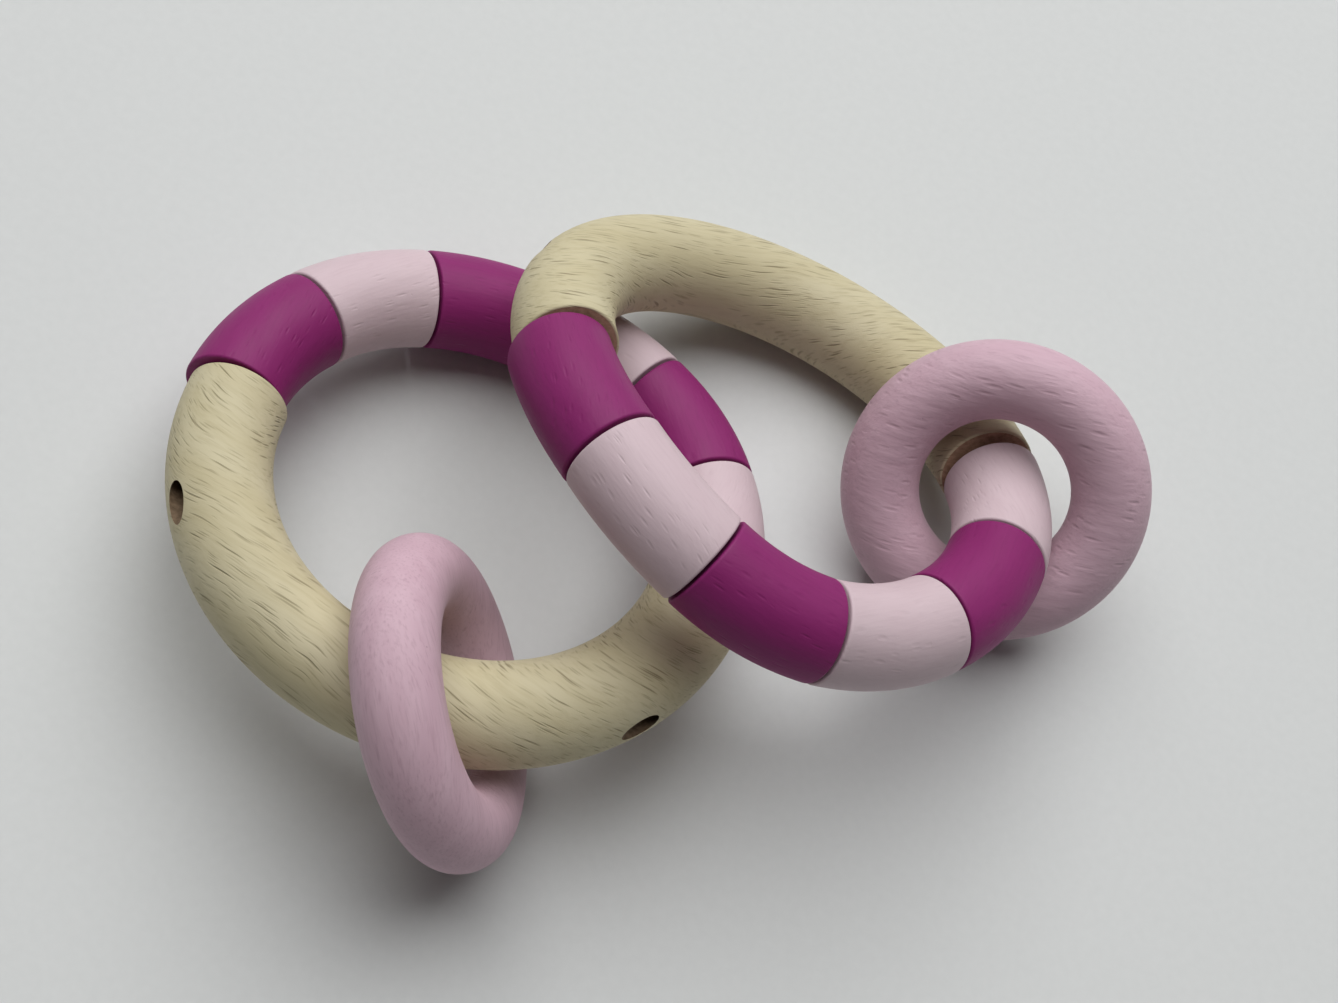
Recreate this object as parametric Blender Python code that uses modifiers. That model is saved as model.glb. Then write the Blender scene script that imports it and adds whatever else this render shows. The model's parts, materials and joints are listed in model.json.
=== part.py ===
"""A pair of wooden bead teethers, one lying over the other.

Each teether is a bare half ring that six painted beads on an elastic cord close to a full ring.  A small
painted ring is threaded on it.  Lengths are in metres, angles in degrees where the name says so.
"""

import math
from dataclasses import dataclass

import bmesh
import bpy
from mathutils import Euler, Matrix, Vector

# Big ring and its beads
RING_RADIUS = 0.0290
TUBE_RADIUS = 0.0060
BEAD_COUNT = 6
SEAM_GAP = 0.0003
END_ROUND = 0.0004

# Elastic cord, its knots and their bores
CORD_RADIUS = 0.0004
CORD_PLAY = 0.0009
SHANK_PLAY = 0.0006
KNOT_HOLD = 0.0002
KNOT_PLAY = 0.00025
STEP_DEPTH = 0.0090
BEAD_BORE_RADIUS = CORD_RADIUS + CORD_PLAY
SHANK_BORE_RADIUS = CORD_RADIUS + SHANK_PLAY
KNOT_RADIUS = SHANK_BORE_RADIUS + KNOT_HOLD
MOUTH_BORE_RADIUS = KNOT_RADIUS + KNOT_PLAY
KNOT_LENGTH_RATIO = 1.3

# Small ring
SMALL_RING_RADIUS = 0.0140
SMALL_TUBE_RADIUS = 0.0049

# Clearance where one piece lies against another
CONTACT_GAP = 0.0004

# Fineness of the round forms
TUBE_SIDES = 24
HALF_RING_STEPS = 26
BEAD_STEPS = 5
ROUND_SEGMENTS = 2
BORE_SIDES = 14
CORD_BEVEL_RESOLUTION = 2
SMALL_RING_STEPS = 34
SMALL_TUBE_SIDES = 18
KNOT_SIDES = 10
KNOT_RINGS = 6
SMOOTH_ANGLE = math.radians(35.0)
RIM_ANGLE = math.radians(60.0)

# Working limits of the seating
WELD = 0.00001
HALVINGS = 40
LINE_STEP_DEG = 3.0
LEAN_LIMIT = math.radians(25.0)
ARC_LIMITS = (0.5 * math.pi / BEAD_COUNT, 1.5 * math.pi / BEAD_COUNT)

# The two ends of a half ring: which side of its centre each one is on
END_SIGNS = (1, -1)

OBJECT_NAME = "bead_teether_pair"
CUTTER_NAME = "bead_teether_cutters"


@dataclass(frozen=True)
class Finish:
    """A plain surface: base colour, roughness and metallic share."""

    name: str
    colour: tuple
    roughness: float
    metallic: float = 0.0


BEECH = Finish("bare_beech", (0.56, 0.48, 0.33, 1.0), 0.55)
MAGENTA = Finish("magenta_paint", (0.27, 0.045, 0.16, 1.0), 0.50)
PALE_PINK = Finish("pale_pink_paint", (0.62, 0.47, 0.51, 1.0), 0.50)
MID_PINK = Finish("mid_pink_paint", (0.52, 0.33, 0.40, 1.0), 0.55)
ELASTIC = Finish("white_elastic", (0.72, 0.70, 0.66, 1.0), 0.80)
BEAD_FINISHES = (MAGENTA, PALE_PINK)


@dataclass(frozen=True)
class Lie:
    """How one teether lies: the place and turn of its half ring and the shape of its bead chain.

    The place is in ring radii.  The chain leaves the half ring at angle 0 and comes back at 180 degrees.
    bulge widens it, droop lowers it out of the half ring's plane, lift and reach set off its first and
    last bead.  Each end's cord bore is aimed outward and upward from the end's own axis.  The small ring
    sits at a station along the half ring, set off a little, and leans one way on the bar inside it.
    """

    prefix: str
    side: int
    spot_ratio: tuple
    turn_deg: tuple
    span_deg: tuple
    bulge: tuple
    droop: tuple
    lift: tuple
    reach: tuple
    bore_aim_deg: tuple
    ring_station_deg: float
    ring_offset: tuple
    ring_lean: tuple


LEFT = Lie(
    prefix="a",
    side=-1,
    spot_ratio=(0.0, 0.0),
    turn_deg=(9.4, -1.5, -175.9),
    span_deg=(0.3, 179.44),
    bulge=(-0.00002, 0.00003),
    droop=(-0.00203, 0.00030, 0.00048),
    lift=(0.00014, -0.00072),
    reach=(0.00087, 0.00087),
    bore_aim_deg=((0.9, 7.5), (-3.9, 2.2)),
    ring_station_deg=102.2,
    ring_offset=(0.00006, -0.00131, -0.00058),
    ring_lean=(0.04, -0.19, 0.98),
)
RIGHT = Lie(
    prefix="b",
    side=1,
    spot_ratio=(1.0034, 0.8172),
    turn_deg=(27.5, -18.2, -158.3),
    span_deg=(0.57, 179.06),
    bulge=(0.00071, -0.00036),
    droop=(-0.00601, 0.00035, 0.00135),
    lift=(-0.00067, -0.00047),
    reach=(0.00078, 0.00069),
    bore_aim_deg=((2.0, 5.2), (0.0, 0.0)),
    ring_station_deg=188.9,
    ring_offset=(0.00007, -0.00002, -0.00009),
    ring_lean=(0.85, -0.13, 0.51),
)


def clear_scene():
    """Remove every object that the scene starts with."""
    for obj in list(bpy.data.objects):
        bpy.data.objects.remove(obj, do_unlink=True)


def new_collection(name):
    """Return a fresh collection linked to the scene."""
    collection = bpy.data.collections.new(name)
    bpy.context.scene.collection.children.link(collection)
    return collection


def new_material(finish):
    """Return a material with the finish's colour, roughness and metallic share."""
    material = bpy.data.materials.new(finish.name)
    material.use_nodes = True
    surface = material.node_tree.nodes["Principled BSDF"]
    surface.inputs["Base Color"].default_value = finish.colour
    surface.inputs["Roughness"].default_value = finish.roughness
    surface.inputs["Metallic"].default_value = finish.metallic
    material.diffuse_color = finish.colour
    return material


def finished_mesh(name, bm):
    """Weld, turn outward and smooth a bmesh, and return it as a mesh."""
    bmesh.ops.remove_doubles(bm, verts=bm.verts[:], dist=WELD)
    bmesh.ops.recalc_face_normals(bm, faces=bm.faces[:])
    mesh = bpy.data.meshes.new(name)
    bm.to_mesh(mesh)
    bm.free()
    mesh.shade_smooth()
    mesh.set_sharp_from_angle(angle=SMOOTH_ANGLE)
    return mesh


def bent_bar(name, bend_radius, bar_radius, start, sweep, steps, sides):
    """Return a round bar bent about Z from angle start through sweep; an open bar gets flat ends."""
    bm = bmesh.new()
    place = Matrix.Rotation(start, 4, "Z") @ Matrix.Translation((bend_radius, 0.0, 0.0))
    upright = Matrix.Rotation(math.pi / 2.0, 4, "X")
    bmesh.ops.create_circle(bm, segments=sides, radius=bar_radius, matrix=place @ upright)
    closed = math.isclose(abs(sweep), 2.0 * math.pi)
    bmesh.ops.spin(
        bm,
        geom=bm.verts[:] + bm.edges[:],
        cent=(0.0, 0.0, 0.0),
        axis=(0.0, 0.0, 1.0),
        angle=sweep,
        steps=steps,
        use_merge=closed,
    )
    if not closed:
        bmesh.ops.holes_fill(bm, edges=[edge for edge in bm.edges if edge.is_boundary], sides=0)
    return finished_mesh(name, bm)


def turned_form(name, profile, sides):
    """Return a form turned about Z from a profile of (radius, height) that starts and ends at radius 0."""
    bm = bmesh.new()
    verts = [bm.verts.new((radius, 0.0, height)) for radius, height in profile]
    for first, second in zip(verts, verts[1:]):
        bm.edges.new((first, second))
    bmesh.ops.spin(
        bm,
        geom=bm.verts[:] + bm.edges[:],
        cent=(0.0, 0.0, 0.0),
        axis=(0.0, 0.0, 1.0),
        angle=2.0 * math.pi,
        steps=sides,
        use_merge=True,
    )
    return finished_mesh(name, bm)


def chain_point(lie, phi):
    """Return the chain's centre line at angle phi, in the half ring's frame."""
    share = phi / math.pi
    radius = RING_RADIUS + lie.bulge[0] * math.sin(phi) + lie.bulge[1] * math.sin(2.0 * phi)
    radius += lie.reach[0] * (1.0 - share) + lie.reach[1] * share
    height = sum(value * math.sin((order + 1) * phi) for order, value in enumerate(lie.droop))
    height += lie.lift[0] * (1.0 - share) + lie.lift[1] * share
    return Vector((radius * math.cos(phi), lie.side * radius * math.sin(phi), height))


def bead_seat(lie, index, arc):
    """Return a bead's frame in the half ring's frame: origin on its chord, X outward, Y along the chord."""
    begin, end = (math.radians(value) for value in lie.span_deg)
    step = (end - begin) / BEAD_COUNT
    first = chain_point(lie, begin + index * step)
    middle = chain_point(lie, begin + (index + 0.5) * step)
    last = chain_point(lie, begin + (index + 1.0) * step)
    along = (last - first).normalized()
    centre = (first + last) / 2.0
    bow = middle - centre
    outward = (bow - along * bow.dot(along)).normalized()
    rise = RING_RADIUS * (1.0 - math.cos(arc / 2.0))
    origin = centre + outward * 0.5 * (bow.dot(outward) - rise)
    axes = Matrix((outward, along, outward.cross(along))).transposed()
    return Matrix.Translation(origin) @ axes.to_4x4()


def bead_end(arc, sign):
    """Return an end face's centre and chain direction in the bead's frame."""
    half = arc / 2.0
    centre = Vector((0.0, sign * RING_RADIUS * math.sin(half), 0.0))
    direction = Vector((-sign * math.sin(half), math.cos(half), 0.0))
    return centre, direction


def half_ring_end(lie, sign):
    """Return an end face's centre and chain direction in the half ring's frame."""
    return Vector((sign * RING_RADIUS, 0.0, 0.0)), Vector((0.0, sign * lie.side, 0.0))


def bore_way(lie, end):
    """Return the way of an end's cord bore into the half ring, turned outward and upward by its aim."""
    outward, upward = (math.tan(math.radians(value)) for value in lie.bore_aim_deg[end])
    return Vector((END_SIGNS[end] * outward, -lie.side, upward)).normalized()


def seams(lie, arc):
    """Return the seven seams of a teether as pairs of facing end faces."""
    leaving = [half_ring_end(lie, 1)]
    meeting = []
    for index in range(BEAD_COUNT):
        seat = bead_seat(lie, index, arc)
        turn = seat.to_3x3()
        for sign, faces in ((-1, meeting), (1, leaving)):
            centre, direction = bead_end(arc, sign)
            faces.append((seat @ centre, turn @ direction))
    meeting.append(half_ring_end(lie, -1))
    return list(zip(leaving, meeting))


def seam_gap(lie, arc):
    """Return the smallest clearance left between the rims of facing end faces."""
    gaps = []
    for (near, near_way), (far, far_way) in seams(lie, arc):
        mean = (near_way + far_way).normalized()
        gaps.append((far - near).dot(mean) - TUBE_RADIUS * math.sin(near_way.angle(far_way)))
    return min(gaps)


def largest(fits, low, high):
    """Return the largest value between low and high for which fits is true, by halving."""
    for _ in range(HALVINGS):
        middle = (low + high) / 2.0
        if fits(middle):
            low = middle
        else:
            high = middle
    return low


def bead_arc(lies):
    """Return the arc of a bead: the longest that leaves the seam gap in every chain."""
    return largest(lambda arc: min(seam_gap(lie, arc) for lie in lies) >= SEAM_GAP, *ARC_LIMITS)


def half_ring_point(lie, angle):
    """Return the half ring's centre line at an angle counted away from the first seam."""
    return Vector((RING_RADIUS * math.cos(angle), -lie.side * RING_RADIUS * math.sin(angle), 0.0))


def centre_line(lie, arc, sweep):
    """Return points along the half ring through sweep and along every bead, in the half ring's frame."""
    count = max(2, round(math.degrees(sweep) / LINE_STEP_DEG))
    points = [half_ring_point(lie, sweep * index / count) for index in range(count + 1)]
    count = max(2, round(math.degrees(arc) / LINE_STEP_DEG))
    bend_centre = Vector((-RING_RADIUS * math.cos(arc / 2.0), 0.0, 0.0))
    for bead in range(BEAD_COUNT):
        seat = bead_seat(lie, bead, arc)
        for index in range(count + 1):
            angle = arc * (index / count - 0.5)
            spoke = Vector((math.cos(angle), math.sin(angle), 0.0)) * RING_RADIUS
            points.append(seat @ (bend_centre + spoke))
    return points


def ring_gap(place, points):
    """Return the clearance between a small ring at place and a round bar along points."""
    back = place.inverted()
    gaps = []
    for point in points:
        local = back @ point
        across = math.hypot(local.x, local.y) - SMALL_RING_RADIUS
        gaps.append(math.hypot(across, local.z))
    return min(gaps) - SMALL_TUBE_RADIUS - TUBE_RADIUS


def small_ring_place(lie, arc):
    """Return a small ring's frame in the half ring's frame, leaning until it touches the bar inside it."""
    station = math.radians(lie.ring_station_deg)
    centre = half_ring_point(lie, station) + Vector(lie.ring_offset)
    along = half_ring_point(lie, station + math.pi / 2.0).normalized()
    toward = Vector(lie.ring_lean)
    toward = (toward - along * toward.dot(along)).normalized()
    points = centre_line(lie, arc, 2.0 * math.pi)

    def place(lean):
        axis = along * math.cos(lean) + toward * math.sin(lean)
        return Matrix.Translation(centre) @ axis.to_track_quat("Z", "Y").to_matrix().to_4x4()

    return place(largest(lambda lean: ring_gap(place(lean), points) >= CONTACT_GAP, 0.0, math.pi / 2.0))


def on_table(lie, arc, lean=0.0):
    """Return the half ring's frame, leaning to the left, with the teether's lowest point at height 0."""
    turn = Euler([math.radians(value) for value in lie.turn_deg]).to_matrix().to_4x4()
    turn = Matrix.Rotation(-lean, 4, "Y") @ turn
    low = min((turn @ point).z for point in centre_line(lie, arc, math.pi))
    spot = Vector(lie.spot_ratio) * RING_RADIUS
    return Matrix.Translation((*spot, TUBE_RADIUS - low)) @ turn


def lying_over(upper, upper_ring, lower, lower_ring, arc):
    """Return the upper half ring's frame: its far side on the table, leaning on the lower teether."""
    frame_below = on_table(lower, arc)
    below = [frame_below @ point for point in centre_line(lower, arc, math.pi)]
    line = centre_line(upper, arc, math.pi)

    def clear(lean):
        frame = on_table(upper, arc, lean)
        above = [frame @ point for point in line]
        bars = min((first - second).length for first in above for second in below) - 2.0 * TUBE_RADIUS
        rings = min(ring_gap(frame_below @ lower_ring, above), ring_gap(frame @ upper_ring, below))
        return min(bars, rings) >= CONTACT_GAP

    return on_table(upper, arc, largest(clear, -LEAN_LIMIT, LEAN_LIMIT))


class Builder:
    """Makes the pieces of the pair in one collection and their cutters in another."""

    def __init__(self):
        self.parts = new_collection(OBJECT_NAME)
        self.cutters = new_collection(CUTTER_NAME)
        self.materials = {}

    def pivot(self, name, parent, place):
        """Add an empty that pieces hang from."""
        empty = bpy.data.objects.new(name, None)
        empty.empty_display_size = TUBE_RADIUS
        self.parts.objects.link(empty)
        empty.parent = parent
        empty.matrix_basis = place
        return empty

    def piece(self, name, mesh, finish, parent, place):
        """Add a named piece with its own material."""
        if finish.name not in self.materials:
            self.materials[finish.name] = new_material(finish)
        mesh.materials.append(self.materials[finish.name])
        obj = bpy.data.objects.new(name, mesh)
        self.parts.objects.link(obj)
        obj.parent = parent
        obj.matrix_basis = place
        return obj

    def cut(self, obj, name, mesh, place):
        """Cut a form placed in the piece's own frame out of the piece."""
        cutter = bpy.data.objects.new(name, mesh)
        cutter.hide_render = True
        cutter.display_type = "WIRE"
        self.cutters.objects.link(cutter)
        cutter.parent = obj
        cutter.matrix_basis = place
        modifier = obj.modifiers.new(name, "BOOLEAN")
        modifier.operation = "DIFFERENCE"
        modifier.solver = "EXACT"
        modifier.object = cutter

    def round_ends(self, obj):
        """Round the rims of a bar's flat ends."""
        modifier = obj.modifiers.new("end_round", "BEVEL")
        modifier.width = END_ROUND
        modifier.segments = ROUND_SEGMENTS
        modifier.limit_method = "ANGLE"
        modifier.angle_limit = RIM_ANGLE

    def half_ring(self, lie, frame):
        """Add the bare half ring with its two stepped cord bores."""
        mesh = bent_bar(
            lie.prefix + "_half_ring",
            RING_RADIUS,
            TUBE_RADIUS,
            0.0,
            -lie.side * math.pi,
            HALF_RING_STEPS,
            TUBE_SIDES,
        )
        obj = self.piece(lie.prefix + "_half_ring", mesh, BEECH, frame, Matrix())
        self.round_ends(obj)
        way_out = math.sqrt((RING_RADIUS + TUBE_RADIUS) ** 2 - (RING_RADIUS - MOUTH_BORE_RADIUS) ** 2)
        profile = (
            (0.0, TUBE_RADIUS),
            (SHANK_BORE_RADIUS, TUBE_RADIUS),
            (SHANK_BORE_RADIUS, -STEP_DEPTH),
            (MOUTH_BORE_RADIUS, -STEP_DEPTH),
            (MOUTH_BORE_RADIUS, -way_out - TUBE_RADIUS),
            (0.0, -way_out - TUBE_RADIUS),
        )
        for end, sign in enumerate(END_SIGNS):
            name = f"{lie.prefix}_half_ring_bore_{end + 1}"
            centre, _ = half_ring_end(lie, sign)
            turn = (-bore_way(lie, end)).to_track_quat("Z", "Y").to_matrix().to_4x4()
            self.cut(obj, name, turned_form(name, profile, BORE_SIDES), Matrix.Translation(centre) @ turn)
        return obj

    def beads(self, lie, arc, frame):
        """Add the six beads, each bored along its chord."""
        offset = Matrix.Translation((-RING_RADIUS * math.cos(arc / 2.0), 0.0, 0.0))
        reach = RING_RADIUS * math.sin(arc / 2.0) + TUBE_RADIUS
        profile = (
            (0.0, reach),
            (BEAD_BORE_RADIUS, reach),
            (BEAD_BORE_RADIUS, -reach),
            (0.0, -reach),
        )
        along = Matrix.Rotation(math.pi / 2.0, 4, "X")
        for index in range(BEAD_COUNT):
            name = f"{lie.prefix}_bead_{index + 1}"
            mesh = bent_bar(name, RING_RADIUS, TUBE_RADIUS, -arc / 2.0, arc, BEAD_STEPS, TUBE_SIDES)
            mesh.transform(offset)
            finish = BEAD_FINISHES[index % len(BEAD_FINISHES)]
            obj = self.piece(name, mesh, finish, frame, bead_seat(lie, index, arc))
            self.round_ends(obj)
            self.cut(obj, name + "_bore", turned_form(name + "_bore", profile, BORE_SIDES), along)

    def cord_and_knots(self, lie, arc, frame):
        """Add the elastic cord from knot to knot and the two knots behind the bores' steps."""
        seat = math.sqrt(KNOT_RADIUS**2 - SHANK_BORE_RADIUS**2) + SEAM_GAP
        knot_depth = STEP_DEPTH + seat * KNOT_LENGTH_RATIO
        cord_depth = knot_depth - KNOT_RADIUS * KNOT_LENGTH_RATIO - SEAM_GAP
        ends = [half_ring_end(lie, sign)[0] for sign in END_SIGNS]
        ways = [bore_way(lie, end) for end in range(len(END_SIGNS))]
        route = [(near + far) / 2.0 for (near, _), (far, _) in seams(lie, arc)]
        route[0] = self.seam_crossing(seams(lie, arc)[0])
        route[-1] = self.seam_crossing(tuple(reversed(seams(lie, arc)[-1])))
        route = [ends[0] + ways[0] * cord_depth, *route, ends[1] + ways[1] * cord_depth]
        name = lie.prefix + "_cord"
        mesh = self.tube_along(name, route)
        self.piece(name, mesh, ELASTIC, frame, Matrix())
        for number, (end, way) in enumerate(zip(ends, ways), start=1):
            name = f"{lie.prefix}_knot_{number}"
            bm = bmesh.new()
            bmesh.ops.create_uvsphere(bm, u_segments=KNOT_SIDES, v_segments=KNOT_RINGS, radius=KNOT_RADIUS)
            mesh = finished_mesh(name, bm)
            mesh.transform(Matrix.Scale(KNOT_LENGTH_RATIO, 4, (0.0, 0.0, 1.0)))
            turn = way.to_track_quat("Z", "Y").to_matrix().to_4x4()
            self.piece(name, mesh, ELASTIC, frame, Matrix.Translation(end + way * knot_depth) @ turn)

    def seam_crossing(self, seam):
        """Return where the cord crosses an end seam: off each bore's axis in the ratio of their play."""
        (narrow, _), (wide, _) = seam
        return narrow.lerp(wide, SHANK_PLAY / (SHANK_PLAY + CORD_PLAY))

    def tube_along(self, name, route):
        """Return a closed round tube along a route, as a welded mesh."""
        curve = bpy.data.curves.new(name, "CURVE")
        curve.dimensions = "3D"
        curve.bevel_depth = CORD_RADIUS
        curve.bevel_resolution = CORD_BEVEL_RESOLUTION
        curve.use_fill_caps = True
        spline = curve.splines.new("POLY")
        spline.points.add(len(route) - 1)
        for point, place in zip(spline.points, route):
            point.co = (*place, 1.0)
        obj = bpy.data.objects.new(name + "_path", curve)
        self.parts.objects.link(obj)
        depsgraph = bpy.context.evaluated_depsgraph_get()
        raw = bpy.data.meshes.new_from_object(obj.evaluated_get(depsgraph))
        bm = bmesh.new()
        bm.from_mesh(raw)
        bpy.data.objects.remove(obj, do_unlink=True)
        bpy.data.curves.remove(curve)
        bpy.data.meshes.remove(raw)
        return finished_mesh(name, bm)

    def small_ring(self, lie, place, frame):
        """Add the small ring under a pivot on the half ring's axis, round which it travels."""
        travel = self.pivot(lie.prefix + "_ring_travel", frame, Matrix())
        name = lie.prefix + "_small_ring"
        mesh = bent_bar(
            name,
            SMALL_RING_RADIUS,
            SMALL_TUBE_RADIUS,
            0.0,
            2.0 * math.pi,
            SMALL_RING_STEPS,
            SMALL_TUBE_SIDES,
        )
        self.piece(name, mesh, MID_PINK, travel, place)

    def teether(self, lie, arc, ring_place, root, place):
        """Add one whole teether."""
        frame = self.pivot(lie.prefix + "_teether", root, place)
        self.half_ring(lie, frame)
        self.beads(lie, arc, frame)
        self.cord_and_knots(lie, arc, frame)
        self.small_ring(lie, ring_place, frame)

    def settle(self, root):
        """Move the pair so that its box stands on height 0 with its middle over the origin."""
        depsgraph = bpy.context.evaluated_depsgraph_get()
        low = Vector((math.inf, math.inf, math.inf))
        high = -low
        for obj in self.parts.objects:
            if obj.type == "MESH":
                shape = obj.evaluated_get(depsgraph)
                for vertex in shape.data.vertices:
                    point = shape.matrix_world @ vertex.co
                    low = Vector(map(min, low, point))
                    high = Vector(map(max, high, point))
        root.location = (-(low.x + high.x) / 2.0, -(low.y + high.y) / 2.0, -low.z)


def main():
    """Build the two teethers, the right one lying over the left one."""
    clear_scene()
    builder = Builder()
    arc = bead_arc((LEFT, RIGHT))
    left_ring = small_ring_place(LEFT, arc)
    right_ring = small_ring_place(RIGHT, arc)
    root = builder.pivot(OBJECT_NAME, None, Matrix())
    builder.teether(LEFT, arc, left_ring, root, on_table(LEFT, arc))
    over = lying_over(RIGHT, right_ring, LEFT, left_ring, arc)
    builder.teether(RIGHT, arc, right_ring, root, over)
    builder.settle(root)


main()
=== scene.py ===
"""Looks of a pair of wooden bead teethers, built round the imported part.

Each teether is a bare beech half ring, six painted beads that close it to a full ring, the elastic cord
inside them and a small painted ring threaded on the bar.  Every piece is placed from the frame: its joints
and its nodes.  Lengths are in metres.
"""

from __future__ import annotations

import json
import logging
import math
from dataclasses import dataclass, field, replace
from enum import Enum

import bmesh
import bpy
import numpy as np
from mathutils import Matrix, Vector

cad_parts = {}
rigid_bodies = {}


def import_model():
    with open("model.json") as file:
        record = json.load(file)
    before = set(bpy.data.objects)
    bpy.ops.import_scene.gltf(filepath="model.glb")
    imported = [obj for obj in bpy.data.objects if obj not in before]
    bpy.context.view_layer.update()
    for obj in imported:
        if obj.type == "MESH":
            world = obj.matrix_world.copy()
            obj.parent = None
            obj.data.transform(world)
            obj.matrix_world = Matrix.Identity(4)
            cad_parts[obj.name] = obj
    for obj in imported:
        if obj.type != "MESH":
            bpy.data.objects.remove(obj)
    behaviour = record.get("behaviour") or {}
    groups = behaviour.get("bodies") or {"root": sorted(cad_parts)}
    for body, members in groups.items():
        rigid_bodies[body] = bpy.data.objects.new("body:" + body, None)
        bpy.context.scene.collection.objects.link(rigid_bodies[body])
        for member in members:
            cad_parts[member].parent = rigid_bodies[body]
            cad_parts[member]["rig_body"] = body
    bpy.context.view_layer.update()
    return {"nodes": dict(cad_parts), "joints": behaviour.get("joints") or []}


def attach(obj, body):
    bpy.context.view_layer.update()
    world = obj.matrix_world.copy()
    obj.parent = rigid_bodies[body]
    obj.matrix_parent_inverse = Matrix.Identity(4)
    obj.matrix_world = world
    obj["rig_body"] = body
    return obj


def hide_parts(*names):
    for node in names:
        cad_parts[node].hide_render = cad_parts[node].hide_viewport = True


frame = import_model()

LOG = logging.getLogger("bead_teethers")
SHARP_ANGLE = math.radians(38.0)
# Range that holds most values of a noise, and the middle of a coloured noise
MOST_NOISE = (0.3, 0.7)
NOISE_MIDDLE = (0.5, 0.5, 0.5)
# Numbers of the Mix node's sockets for colours
MIX_SHARE, MIX_UNDER, MIX_OVER, MIX_RESULT = 0, 6, 7, 2

Triple = tuple[float, float, float]
Pair = tuple[float, float]
Colour = Triple
Socket = bpy.types.NodeSocket


class Slot(Enum):
    """Names of finishes in the record."""

    BEECH = "bare_beech"
    MAGENTA = "magenta_paint"
    PALE_PINK = "pale_pink_paint"
    MID_PINK = "mid_pink_paint"


@dataclass(frozen=True)
class Mottle:
    """Soft noise, stretched along the fibres by the size of its cell."""

    cell: Triple
    layers: float
    keep: float = 0.5
    depth: float = 0.0


@dataclass(frozen=True)
class Marks:
    """Lens-shaped marks along the fibres, at most one to a cell.

    The width is in cells, and the core is the share of it inside the soft edge.  The share is that of the
    cells that hold a mark, and the bold part of those have it at full strength.
    """

    cell: Triple
    width: float
    share: float
    strength: float
    depth: float
    core: float = 0.45
    bold: float = 0.35


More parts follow.
